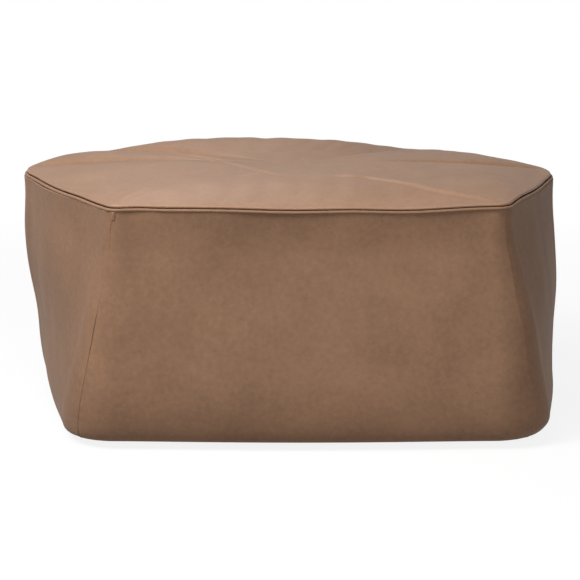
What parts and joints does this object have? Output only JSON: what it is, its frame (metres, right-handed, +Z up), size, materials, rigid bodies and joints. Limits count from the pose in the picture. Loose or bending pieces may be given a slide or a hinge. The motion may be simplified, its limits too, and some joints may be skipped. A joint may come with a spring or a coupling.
{
  "type": "leather pouf",
  "caption": "Low six-sided leather pouf with a crowned, creased top, a welted top seam, a zipped underside and a foam body on a board with hidden glides.",
  "frame": {"origin": "middle of the pouf's footprint box, on the floor under the glides", "axes": "+X to the pouf's right seen from the front, +Y to the back, +Z up"},
  "size_m": [0.9592, 0.6928, 0.4451],
  "materials": {
    "leather_top": "matte",
    "leather_side": "matte",
    "leather_welt": "satin",
    "leather_base": "matte",
    "cotton_cord": "matte",
    "cotton_tape": "matte",
    "zip_tape": "matte",
    "zip_teeth": "satin",
    "zip_metal": "satin",
    "plywood": "matte",
    "glide_nylon": "matte",
    "zinc_steel": "satin",
    "eyelet_brass": "satin",
    "foam_firm": "matte",
    "foam_medium": "matte",
    "foam_soft": "matte",
    "wadding": "matte",
    "calico": "matte"
  },
  "bodies": {
    "pouf": {"top_panel": "leather_top", "side_panel_front": "leather_side", "side_panel_front_right": "leather_side", "side_panel_back_right": "leather_side", "side_panel_back": "leather_side", "side_panel_back_left": "leather_side", "side_panel_front_left": "leather_side", "welt_strip": "leather_welt", "welt_cord": "cotton_cord", "seam_tapes": "cotton_tape", "base_panel_front": "leather_base", "base_panel_back": "leather_base", "zip_tape_front": "zip_tape", "zip_tape_back": "zip_tape", "zip_teeth_front": "zip_teeth", "zip_teeth_back": "zip_teeth", "zip_stops": "zip_metal", "zip_end_tabs": "leather_base", "base_board": "plywood", "floor_glides": "glide_nylon", "glide_screws": "zinc_steel", "base_eyelets": "eyelet_brass", "tee_nuts": "zinc_steel", "foam_base": "foam_firm", "foam_core": "foam_medium", "foam_topper": "foam_soft", "batting_side": "wadding", "batting_top": "wadding", "inner_cover": "calico"},
    "zip_slider": {"zip_slider": "zip_metal"},
    "zip_pull": {"zip_pull": "zip_metal"}
  },
  "joints": [
    {"name": "zip_slide", "type": "slide", "parent": "pouf", "child": "zip_slider", "axis": [-1, 0, 0], "range_m": [0, 0.5463]},
    {"name": "pull_swing", "type": "hinge", "parent": "zip_slider", "child": "zip_pull", "pos_m": [0.26843, -0.00018, 0.00945], "axis": [0, 1, 0], "range_deg": [-16, 160]}
  ]
}
